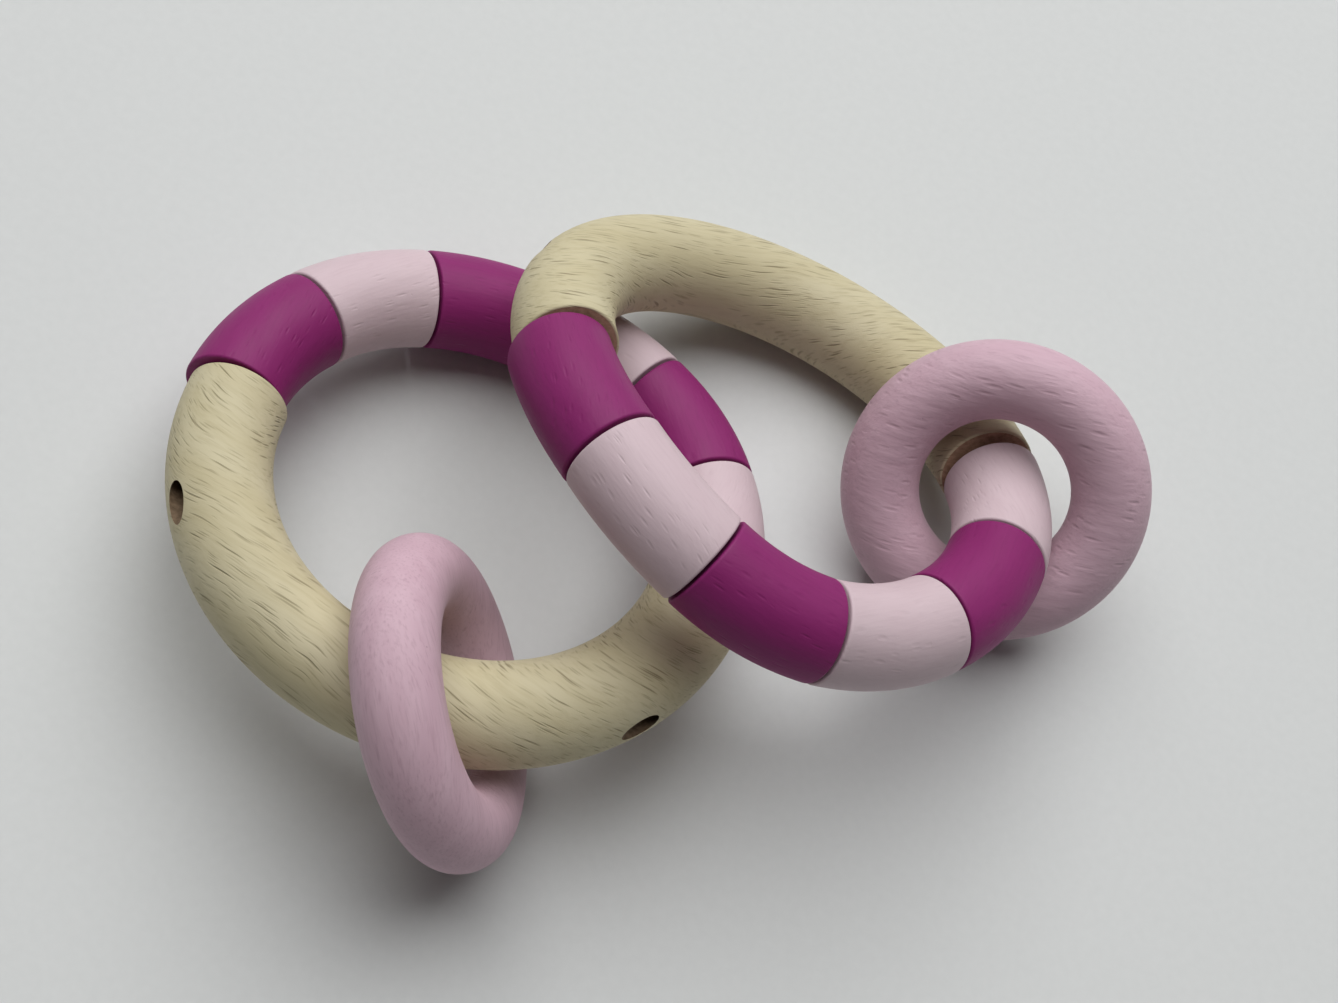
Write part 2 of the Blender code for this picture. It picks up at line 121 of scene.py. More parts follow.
class NodeSheet:
    """A material's node tree with short ways to lay and link its nodes."""

    def __init__(self, name: str) -> None:
        """Start a material that holds one Principled surface.

        Args:
            name: Name of the material.
        """
        self.material = bpy.data.materials.new(name)
        self.material.use_nodes = True
        self.tree = self.material.node_tree
        self.surface = self.tree.nodes["Principled BSDF"]

    def add(self, kind: str, **settings: object) -> bpy.types.Node:
        """Add a node.

        Args:
            kind: Blender's name of the node type.
            **settings: Properties of the node.

        Returns:
            The new node.
        """
        node = self.tree.nodes.new(kind)
        for key, value in settings.items():
            setattr(node, key, value)
        return node

    def link(self, source: Socket, target: Socket) -> None:
        """Link two sockets."""
        self.tree.links.new(source, target)

    def grain(self, place: Matrix) -> Socket:
        """Lay coordinates in metres in a grain's frame, X along the fibres.

        Args:
            place: The grain's frame.

        Returns:
            The vector socket.
        """
        source = self.add("ShaderNodeTexCoord")
        mapping = self.add("ShaderNodeMapping", vector_type="TEXTURE")
        mapping.inputs["Location"].default_value = place.translation
        mapping.inputs["Rotation"].default_value = place.to_euler()
        self.link(source.outputs["Object"], mapping.inputs["Vector"])
        return mapping.outputs["Vector"]

    def cells(self, vector: Socket, cell: Triple) -> Socket:
        """Measure coordinates in cells.

        Args:
            vector: Coordinates in metres.
            cell: Cell size along the fibres and across them twice.

        Returns:
            The coordinates in cells.
        """
        node = self.add("ShaderNodeVectorMath", operation="DIVIDE")
        node.inputs[1].default_value = cell
        self.link(vector, node.inputs[0])
        return node.outputs["Vector"]

    def mottle(self, vector: Socket, kind: Mottle) -> Socket:
        """Lay a soft noise.

        Args:
            vector: Coordinates in metres.
            kind: The noise.

        Returns:
            The noise value, about 0 to 1.
        """
        node = self.add("ShaderNodeTexNoise")
        node.inputs["Scale"].default_value = 1.0
        node.inputs["Detail"].default_value = kind.layers
        node.inputs["Roughness"].default_value = kind.keep
        self.link(self.cells(vector, kind.cell), node.inputs["Vector"])
        return node.outputs["Fac"]

    def warp(self, vector: Socket, reach: Triple, waves: float) -> Socket:
        """Bend coordinates by a soft noise.

        Args:
            vector: Coordinates.
            reach: Spread of the shift on each axis, in the same unit.
            waves: Waves of the noise per unit.

        Returns:
            The bent coordinates.
        """
        node = self.add("ShaderNodeTexNoise")
        node.inputs["Scale"].default_value = waves
        node.inputs["Detail"].default_value = 1.0
        self.link(vector, node.inputs["Vector"])
        centred = self.add("ShaderNodeVectorMath", operation="SUBTRACT")
        centred.inputs[1].default_value = NOISE_MIDDLE
        self.link(node.outputs["Color"], centred.inputs[0])
        shift = self.add("ShaderNodeVectorMath", operation="MULTIPLY_ADD")
        shift.inputs[1].default_value = reach
        self.link(centred.outputs["Vector"], shift.inputs[0])
        self.link(vector, shift.inputs[2])
        return shift.outputs["Vector"]

    def marks(self, vector: Socket, kind: Marks) -> Socket:
        """Lay a scatter of marks.

        Args:
            vector: Coordinates in metres.
            kind: The marks.

        Returns:
            A mask: 1 in the middle of a mark, 0 off it.
        """
        cells = self.add("ShaderNodeTexVoronoi", feature="F1")
        cells.inputs["Scale"].default_value = 1.0
        self.link(self.cells(vector, kind.cell), cells.inputs["Vector"])
        lens = self.spread(cells.outputs["Distance"], (kind.width, kind.core * kind.width))
        split = self.add("ShaderNodeSeparateColor")
        self.link(cells.outputs["Color"], split.inputs["Color"])
        gate = self.spread(split.outputs["Red"], (1.0 - kind.share, 1.0 - kind.bold * kind.share))
        return self.join("MULTIPLY", lens, gate)

    def spread(self, value: Socket, source: Pair, target: Pair = (0.0, 1.0)) -> Socket:
        """Map a range of a value to another range, held at its ends.

        Args:
            value: Socket of the value.
            source: Two values of it.
            target: What they become.

        Returns:
            The mapped value.
        """
        node = self.add("ShaderNodeMapRange", clamp=True)
        node.inputs["From Min"].default_value = source[0]
        node.inputs["From Max"].default_value = source[1]
        node.inputs["To Min"].default_value = target[0]
        node.inputs["To Max"].default_value = target[1]
        self.link(value, node.inputs["Value"])
        return node.outputs["Result"]

    def join(self, operation: str, first: Socket, second: Socket | float) -> Socket:
        """Join two values, the second a socket or a number.

        Args:
            operation: Blender's name of the sum.
            first: Socket of the first value.
            second: Socket or number.

        Returns:
            The joined value.
        """
        node = self.add("ShaderNodeMath", operation=operation)
        self.link(first, node.inputs[0])
        if isinstance(second, Socket):
            self.link(second, node.inputs[1])
        else:
            node.inputs[1].default_value = second
        return node.outputs["Value"]

    def tint(self, share: Socket, under: Socket | Colour, over: Colour) -> Socket:
        """Lay one colour over another.

        Args:
            share: Socket of the share of the upper colour.
            under: Socket or colour of the lower layer.
            over: Colour of the upper layer.

        Returns:
            The mixed colour.
        """
        node = self.add("ShaderNodeMix", data_type="RGBA", blend_type="MIX")
        self.link(share, node.inputs[MIX_SHARE])
        if isinstance(under, Socket):
            self.link(under, node.inputs[MIX_UNDER])
        else:
            node.inputs[MIX_UNDER].default_value = (*under, 1.0)
        node.inputs[MIX_OVER].default_value = (*over, 1.0)
        return node.outputs[MIX_RESULT]

    def relief(self, heights: list[tuple[Socket, float]]) -> None:
        """Bump the surface by several heights.

        Args:
            heights: Socket of each height from 0 to 1, and its depth in metres.
        """
        total = None
        for height, depth in heights:
            step = self.join("MULTIPLY", height, depth)
            total = step if total is None else self.join("ADD", total, step)
        bump = self.add("ShaderNodeBump")
        bump.inputs["Strength"].default_value = 1.0
        bump.inputs["Distance"].default_value = 1.0
        self.link(total, bump.inputs["Height"])
        self.link(bump.outputs["Normal"], self.surface.inputs["Normal"])

    def colour(self, socket: Socket) -> None:
        """Give the surface its colour."""
        self.link(socket, self.surface.inputs["Base Color"])

    def roughness(self, socket: Socket) -> None:
        """Give the surface its roughness."""
        self.link(socket, self.surface.inputs["Roughness"])

    def gloss(self, level: float) -> None:
        """Set the surface's own specular level."""
        self.surface.inputs["Specular IOR Level"].default_value = level


@dataclass(frozen=True)
class Beech:
    """Bare sanded beech: pale bands, fine streaks and short dark ray flecks along the fibres."""

    body: Colour = (0.540, 0.478, 0.302)
    pale: Colour = (0.600, 0.543, 0.370)
    shade: Colour = (0.425, 0.368, 0.218)
    dark: Colour = (0.170, 0.132, 0.066)
    drift: Triple = (0.0, 0.0080, 0.0030)
    drift_waves: float = 34.0
    ripple: Triple = (0.0, 0.0007, 0.0007)
    ripple_waves: float = 190.0
    bands: Mottle = Mottle((0.060, 0.0050, 0.0090), layers=2.0)
    streaks: Mottle = Mottle((0.0110, 0.00055, 0.0011), layers=3.0, keep=0.6, depth=0.00002)
    skin: Mottle = Mottle((0.0030, 0.00012, 0.00014), layers=2.0, depth=0.000012)
    flecks: Marks = Marks((0.0074, 0.00032, 0.0030), width=0.36, share=0.66, strength=0.58, depth=0.00005)
    dashes: Marks = Marks((0.0038, 0.00025, 0.0016), width=0.40, share=0.85, strength=0.32, depth=0.00002)
    band_range: Pair = (0.35, 0.70)
    band_strength: float = 0.9
    streak_range: Pair = (0.48, 0.80)
    streak_strength: float = 0.5
    roughness: Pair = (0.52, 0.66)
    gloss: float = 0.28

    def material(self, name: str, place: Matrix) -> bpy.types.Material:
        """Make the finish for one piece.

        Args:
            name: Name of the material.
            place: Frame of the piece's grain.

        Returns:
            The material.
        """
        sheet = NodeSheet(name)
        fibres = sheet.warp(sheet.grain(place), self.drift, self.drift_waves)
        fibres = sheet.warp(fibres, self.ripple, self.ripple_waves)
        bands = sheet.mottle(fibres, self.bands)
        streaks = sheet.mottle(fibres, self.streaks)
        flecks = sheet.marks(fibres, self.flecks)
        dashes = sheet.marks(fibres, self.dashes)
        skin = sheet.mottle(fibres, self.skin)
        banded = sheet.spread(bands, self.band_range, (0.0, self.band_strength))
        streaky = sheet.spread(streaks, self.streak_range, (0.0, self.streak_strength))
        colour = sheet.tint(banded, self.body, self.pale)
        colour = sheet.tint(streaky, colour, self.shade)
        colour = sheet.tint(sheet.join("MULTIPLY", dashes, self.dashes.strength), colour, self.dark)
        colour = sheet.tint(sheet.join("MULTIPLY", flecks, self.flecks.strength), colour, self.dark)
        sheet.colour(colour)
        sheet.roughness(sheet.spread(streaks, MOST_NOISE, self.roughness))
        sheet.gloss(self.gloss)
        sheet.relief(
            [
                (flecks, -self.flecks.depth),
                (dashes, -self.dashes.depth),
                (skin, self.skin.depth),
                (streaks, self.streaks.depth),
            ]
        )
        return sheet.material


@dataclass(frozen=True)
class SatinPaint:
    """Water paint rubbed on wood: soft cloudy colour, grain dents, fine pores and a low satin gloss."""

    slot: Slot
    body: Colour
    light: Colour
    deep: Colour
    cloudiness: float = 0.5
    clouds: Mottle = Mottle((0.0070, 0.0022, 0.0022), layers=3.0, depth=0.00009)
    brush: Mottle = Mottle((0.0060, 0.00030, 0.00030), layers=2.0, keep=0.6, depth=0.000015)
    skin: Mottle = Mottle((0.00030, 0.00022, 0.00022), layers=2.0, depth=0.000005)
    dents: Marks = Marks(
        (0.0022, 0.00044, 0.0014), width=0.40, share=0.50, strength=0.12, depth=0.00004, core=0.20
    )
    specks: Marks = Marks((0.0034, 0.0034, 0.0034), width=0.045, share=0.30, strength=0.6, depth=0.00004)
    ripple: Triple = (0.0, 0.0012, 0.0012)
    ripple_waves: float = 120.0
    cloud_range: Pair = (0.40, 0.75)
    brush_range: Pair = (0.50, 0.80)
    brush_share: float = 0.6
    roughness: Pair = (0.44, 0.58)
    gloss: float = 0.28

    def material(self, name: str, place: Matrix) -> bpy.types.Material:
        """Make the finish for one piece.

        Args:
            name: Name of the material.
            place: Frame of the piece's grain.

        Returns:
            The material.
        """
        sheet = NodeSheet(name)
        fibres = sheet.warp(sheet.grain(place), self.ripple, self.ripple_waves)
        clouds = sheet.mottle(fibres, self.clouds)
        brush = sheet.mottle(fibres, self.brush)
        dents = sheet.marks(fibres, self.dents)
        specks = sheet.marks(fibres, self.specks)
        skin = sheet.mottle(fibres, self.skin)
        cloudy = sheet.spread(clouds, self.cloud_range, (0.0, self.cloudiness))
        brushed = sheet.spread(brush, self.brush_range, (0.0, self.brush_share * self.cloudiness))
        colour = sheet.tint(cloudy, self.body, self.light)
        colour = sheet.tint(brushed, colour, self.deep)
        colour = sheet.tint(sheet.join("MULTIPLY", dents, self.dents.strength), colour, self.deep)
        colour = sheet.tint(sheet.join("MULTIPLY", specks, self.specks.strength), colour, self.deep)
        sheet.colour(colour)
        sheet.roughness(sheet.spread(clouds, MOST_NOISE, self.roughness))
        sheet.gloss(self.gloss)
        sheet.relief(
            [
                (clouds, self.clouds.depth),
                (dents, -self.dents.depth),
                (specks, -self.specks.depth),
                (brush, self.brush.depth),
                (skin, self.skin.depth),
            ]
        )
        return sheet.material


@dataclass(frozen=True)
class TwoTone:
    """Finish of two close tones that a fine noise mixes."""

    body: Colour
    shade: Colour
    mottle: Mottle
    roughness: Pair
    gloss: float
    tone_range: Pair = MOST_NOISE

    def material(self, name: str) -> bpy.types.Material:
        """Make the finish.

        Args:
            name: Name of the material.

        Returns:
            The material.
        """
        sheet = NodeSheet(name)
        tone = sheet.mottle(sheet.grain(Matrix()), self.mottle)
        sheet.colour(sheet.tint(sheet.spread(tone, self.tone_range), self.body, self.shade))
        sheet.roughness(sheet.spread(tone, MOST_NOISE, self.roughness))
        sheet.gloss(self.gloss)
        sheet.relief([(tone, self.mottle.depth)])
        return sheet.material


MAGENTA = SatinPaint(
    slot=Slot.MAGENTA,
    body=(0.226, 0.017, 0.127),
    light=(0.252, 0.022, 0.146),
    deep=(0.165, 0.010, 0.088),
    gloss=0.21,
)
PALE_PINK = SatinPaint(
    slot=Slot.PALE_PINK,
    body=(0.610, 0.475, 0.512),
    light=(0.650, 0.520, 0.556),
    deep=(0.500, 0.370, 0.410),
)
SMOOTH_PINK = SatinPaint(
    slot=Slot.MID_PINK,
    body=(0.588, 0.396, 0.466),
    light=(0.640, 0.448, 0.518),
    deep=(0.390, 0.240, 0.292),
    cloudiness=0.85,
    clouds=replace(SatinPaint.clouds, cell=(0.0120, 0.0016, 0.0016), depth=0.00011),
    dents=replace(SatinPaint.dents, share=0.30, strength=0.10),
)
DENTED_PINK = replace(
    SMOOTH_PINK,
    cloudiness=0.60,
    clouds=replace(SatinPaint.clouds, cell=(0.0050, 0.0014, 0.0017), depth=0.00013),
    dents=Marks((0.0034, 0.00070, 0.0018), width=0.40, share=0.85, strength=0.15, depth=0.00007, core=0.0),
)
BEECH = Beech()
# Sawn end grain of the half ring, tinted pinkish for light bounced off the pink paint: the wood's own
# colour with a painted reflection.
SAWN_END_WITH_BOUNCE = TwoTone(
    body=(0.500, 0.320, 0.215),
    shade=(0.310, 0.190, 0.120),
    mottle=Mottle((0.0009, 0.0005, 0.0005), layers=3.0, keep=0.6, depth=0.00004),
    roughness=(0.70, 0.85),
    gloss=0.25,
)
# Bore wood painted darker than the sawn ends: painted shade inside the bores.
SHADED_BORE = replace(SAWN_END_WITH_BOUNCE, body=(0.220, 0.150, 0.092), shade=(0.120, 0.080, 0.048))
WOUND_ELASTIC = TwoTone(
    body=(0.72, 0.70, 0.66),
    shade=(0.50, 0.47, 0.43),
    mottle=Mottle((0.00025, 0.00025, 0.00025), layers=2.0, depth=0.00003),
    roughness=(0.70, 0.85),
    gloss=0.5,
    tone_range=(0.35, 0.65),
)
TABLE_TOP = TwoTone(
    body=(0.655, 0.668, 0.662),
    shade=(0.640, 0.653, 0.647),
    mottle=Mottle((0.0012, 0.0012, 0.0012), layers=3.0, depth=0.00001),
    roughness=(0.60, 0.70),
    gloss=0.20,
)


def node_points(name: str) -> np.ndarray:
    """Return the vertices of a CAD node.

    Args:
        name: Name of the node.

    Returns:
        Their places in the row frame.
    """
    mesh = frame["nodes"][name].data
    flat = np.empty(3 * len(mesh.vertices), np.float32)
    mesh.vertices.foreach_get("co", flat)
    return flat.reshape(-1, 3).astype(float)


def node_body(name: str) -> str:
    """Return the body that a CAD node rides on."""
    return frame["nodes"][name]["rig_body"]


def joint(name: str) -> dict:
    """Return a joint of the record by its name."""
    return next(entry for entry in frame["joints"] if entry["name"] == name)


def circle(count: int) -> np.ndarray:
    """Return even angles once round a circle."""
    return np.linspace(0.0, 2.0 * math.pi, count, endpoint=False)


def frame_of(origin: Vector, across: Vector, normal: Vector) -> Matrix:
    """Return a right-handed frame.

    Args:
        origin: Place of the frame.
        across: Direction near the frame's X axis.
        normal: Direction of the frame's Z axis.

    Returns:
        The frame as a 4 by 4 matrix.
    """
    upright = normal.normalized()
    first = (across - upright * across.dot(upright)).normalized()
    axes = Matrix((first, upright.cross(first), upright)).transposed()
    return Matrix.Translation(origin) @ axes.to_4x4()


def banded_mesh(
    name: str, rings: np.ndarray, closed: bool, bare_band: int | None = None
) -> bpy.types.Mesh:
    """Skin a stack of rings with bands of quads.

    Args:
        name: Name of the mesh.
        rings: Points as rings, points of a ring, coordinates.
        closed: True where the last ring joins the first one, else flat caps close both ends.
        bare_band: Number of a band that takes the second material, as the caps do.

    Returns:
        The closed mesh with its faces outward.
    """
    bm = bmesh.new()
    loops = [[bm.verts.new(point) for point in ring] for ring in rings]
    count = len(loops[0])
    bands = len(loops) if closed else len(loops) - 1
    for band in range(bands):
        near = loops[band]
        far = loops[(band + 1) % len(loops)]
        for index in range(count):
            after = (index + 1) % count
            face = bm.faces.new((near[index], near[after], far[after], far[index]))
            face.material_index = int(band == bare_band)
    if not closed:
        for loop in (loops[0], loops[-1]):
            bm.faces.new(loop).material_index = 1
    bmesh.ops.recalc_face_normals(bm, faces=bm.faces[:])
    mesh = bpy.data.meshes.new(name)
    bm.to_mesh(mesh)
    bm.free()
    soften(mesh)
    return mesh


def soften(mesh: bpy.types.Mesh) -> None:
    """Shade a mesh smooth with its true edges sharp."""
    mesh.shade_smooth()
    mesh.set_sharp_from_angle(angle=SHARP_ANGLE)


def show(name: str, mesh: bpy.types.Mesh, place: Matrix) -> bpy.types.Object:
    """Add a mesh to the scene, with its vertices in the row frame as the nodes have them.

    Args:
        name: Name of the piece.
        mesh: Its mesh, in its own frame.
        place: Its frame.

    Returns:
        The object.
    """
    mesh.transform(place)
    obj = bpy.data.objects.new(name, mesh)
    bpy.context.scene.collection.objects.link(obj)
    return obj


def stand_for(obj: bpy.types.Object, node: str) -> None:
    """Let a piece stand for a CAD node: put it on the node's body and hide the node.

    Args:
        obj: The piece.
        node: Name of the CAD node.
    """
    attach(obj, node_body(node))
    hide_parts(node)
    LOG.info("%s stands for %s, %d faces", obj.name, node, len(obj.data.polygons))


@dataclass
class Bar:
    """Round bar bent about an axis, as the half ring, the beads and the small ring are."""

    bend_radius: float = 0.0290
    radius: float = 0.0060
    rim: float = 0.00030
    sides: int = 72
    rim_steps: int = 6
    step: float = 0.0009

    def section(self, angle: float, radius: float) -> np.ndarray:
        """Return a ring of the bar.

        Args:
            angle: Angle of the bend.
            radius: Radius of the ring.

        Returns:
            Its points, in the bend's frame.
        """
        turn = circle(self.sides)
        reach = self.bend_radius + radius * np.cos(turn)
        return np.stack((reach * math.cos(angle), reach * math.sin(angle), radius * np.sin(turn)), axis=1)

    def rim_stations(self, angle: float, inward: float) -> list[Pair]:
        """Return the stations of a rounded rim, from the flat end face to the bar's side.

        Args:
            angle: Angle of the end face.
            inward: 1 where the bar lies at greater angles, else -1.

        Returns:
            Angle and radius of each station.
        """
        stations = []
        for index in range(self.rim_steps + 1):
            turn = 0.5 * math.pi * index / self.rim_steps
            back = self.rim * (1.0 - math.cos(turn)) / self.bend_radius
            stations.append((angle + inward * back, self.radius - self.rim * (1.0 - math.sin(turn))))
        return stations

    def stations(self, begin: float, end: float) -> list[Pair]:
        """Return the bar's stations from one end face to the other, begin below end.

        Args:
            begin: Angle of the first end face.
            end: Angle of the last end face.

        Returns:
            Angle and radius of each station.
        """
        back = self.rim / self.bend_radius
        count = max(2, round((end - begin) * self.bend_radius / self.step))
        sides = np.linspace(begin + back, end - back, count + 1)[1:-1]
        middle = [(float(angle), self.radius) for angle in sides]
        return self.rim_stations(begin, 1.0) + middle + self.rim_stations(end, -1.0)[::-1]


@dataclass(frozen=True)
class EndFace:
    """Plane of a bead's end face, in the bead's frame."""

    normal: Vector
    depth: float

    def bend(self, reach: np.ndarray, height: np.ndarray, offset: float) -> np.ndarray:
        """Return the angles of the bend where lines of the bar's skin meet the plane.

        Args:
            reach: Distances of the lines from the bend's axis.
            height: Their heights over the bend's plane.
            offset: Distance of the bead's frame from the bend's axis.

        Returns:
            The angles.
        """
        outward, along, upright = self.normal
        level = self.depth - upright * height + outward * offset
        return math.atan2(along, outward) - np.arccos(level / (reach * math.hypot(outward, along)))

    def run(self, across: np.ndarray, height: np.ndarray) -> np.ndarray:
        """Return where lines along the bore meet the plane."""
        outward, along, upright = self.normal
        return (self.depth - outward * across - upright * height) / along


@dataclass
class BeadChain:
    """Six painted beads, each a short bent bar bored along its chord."""

    prefix: str
    bar: Bar = field(default_factory=Bar)
    count: int = 6
    bore_radius: float = 0.0013
    edge_reach: float = 1.5
    rank_limit: float = 0.01
    seam: float = 0.00038
    straight_grain_bead: int = 3
    grain_tilt_deg: float = 7.0
    grain_roll: float = 0.4

    def bore_edge(self, number: int) -> tuple[np.ndarray, np.ndarray]:
        """Return the edge points of a bead's bore.

        Args:
            number: Number of the bead.

        Returns:
            Their places across the bore's axis, and their distances along it from the middle.
        """
        hinge = joint(f"{self.prefix}_bead_{number}_twist")
        axis = np.array(Vector(hinge["axis"]).normalized())
        away = node_points(f"{self.prefix}_bead_{number}") - np.array(hinge["pos_m"])
        run = away @ axis
        across = away - np.outer(run, axis)
        edge = np.linalg.norm(across, axis=1) < self.edge_reach * self.bore_radius
        return across[edge], np.abs(run[edge])

    def bead_frame(self, number: int) -> Matrix:
        """Return a bead's frame: origin on its chord, X outward, Y along the chord.

        The end faces are cut toward the bend's axis, so the bore is longest on its outward side.

        Args:
            number: Number of the bead.

        Returns:
            The frame.
        """
        hinge = joint(f"{self.prefix}_bead_{number}_twist")
        along = Vector(hinge["axis"]).normalized()
        across, run = self.bore_edge(number)
        level = np.full((len(run), 1), self.bore_radius)
        slope = np.linalg.lstsq(np.hstack((across, level)), run, rcond=self.rank_limit)[0]
        outward = Vector(slope[:3])
        return frame_of(Vector(hinge["pos_m"]), outward, outward.cross(along))

    def half_arc(self, number: int) -> float:
        """Return half a bead's arc, from where its bore meets its end faces."""
        return math.asin(float(self.bore_edge(number)[1].mean()) / self.bar.bend_radius)

    def own_faces(self, half: float) -> list[EndFace]:
        """Return a bead's two square end faces.

        Args:
            half: Half its arc.

        Returns:
            The end faces, the first one toward the start of the chain.
        """
        tilt, along = math.sin(half), math.cos(half)
        depth = self.bar.bend_radius * tilt * along
        return [EndFace(Vector((tilt, along, 0.0)), -depth), EndFace(Vector((-tilt, along, 0.0)), depth)]

    def fitted_faces(self, places: list[Matrix], halves: list[float]) -> list[list[EndFace]]:
        """Turn the end faces that meet in a seam to the seam's middle plane.

        Args:
            places: Frames of the beads.
            halves: Half arcs of the beads.

        Returns:
            The two end faces of each bead.
        """
        faces = [self.own_faces(half) for half in halves]
        for first in range(len(places) - 1):
            pair = (first, first + 1)
            turns = [places[bead].to_3x3() for bead in pair]
            tips = [self.bar.bend_radius * math.sin(halves[bead]) for bead in pair]
            start = places[first] @ Vector((0.0, tips[0], 0.0))
            middle = start.lerp(places[first + 1] @ Vector((0.0, -tips[1], 0.0)), 0.5)
            normal = turns[0] @ faces[first][1].normal + turns[1] @ faces[first + 1][0].normal
            normal.normalize()
            for side, bead in enumerate(pair):
                depth = normal.dot(middle - places[bead].translation) + (side - 0.5) * self.seam
                faces[bead][1 - side] = EndFace(turns[side].transposed() @ normal, depth)
        return faces

    def bead_mesh(self, name: str, half: float, faces: list[EndFace]) -> bpy.types.Mesh:
        """Return a bead's mesh: side, rims, end faces and bore.

        Args:
            name: Name of the mesh.
            half: Half its arc.
            faces: Its two end faces.

        Returns:
            The mesh, in the bead's frame.
        """
        turn = circle(self.bar.sides)
        offset = self.bar.bend_radius * math.cos(half)
        stack = [self.bore_ring(turn, faces[0])]
        for angle, radius in self.bar.stations(-half, half):
            reach = self.bar.bend_radius + radius * np.cos(turn)
            height = radius * np.sin(turn)
            low, high = (face.bend(reach, height, offset) for face in faces)
            bend = low + (high - low) * (angle + half) / (2.0 * half)
            stack.append(np.stack((reach * np.cos(bend) - offset, reach * np.sin(bend), height), axis=1))
        stack.append(self.bore_ring(turn, faces[1]))
        return banded_mesh(name, np.array(stack), closed=True, bare_band=len(stack) - 1)

    def bore_ring(self, turn: np.ndarray, face: EndFace) -> np.ndarray:
        """Return the bore's edge on an end face.

        Args:
            turn: Angles round the bore.
            face: The end face.

        Returns:
            The edge's points, in the bead's frame.
        """
        across = self.bore_radius * np.cos(turn)
        height = self.bore_radius * np.sin(turn)
        return np.stack((across, face.run(across, height), height), axis=1)

    def build(self) -> None:
        """Build and dress the six beads."""
        numbers = range(1, self.count + 1)
        places = [self.bead_frame(number) for number in numbers]
        halves = [self.half_arc(number) for number in numbers]
        faces = self.fitted_faces(places, halves)
        for number, place, half, ends in zip(numbers, places, halves, faces):
            node = f"{self.prefix}_bead_{number}"
            paint = MAGENTA if number % 2 else PALE_PINK
            mesh = self.bead_mesh(node + "_painted", half, ends)
            tilt = 0.5 * math.pi + math.radians(self.grain_tilt_deg * (number - self.straight_grain_bead))
            turn = Matrix.Rotation(tilt, 4, "Z")
            roll = Matrix.Rotation(self.grain_roll * number, 4, "X")
            mesh.materials.append(paint.material(node + "_paint", place @ turn @ roll))
            mesh.materials.append(SHADED_BORE.material(node + "_bore"))
            stand_for(show(node + "_painted", mesh, place), node)


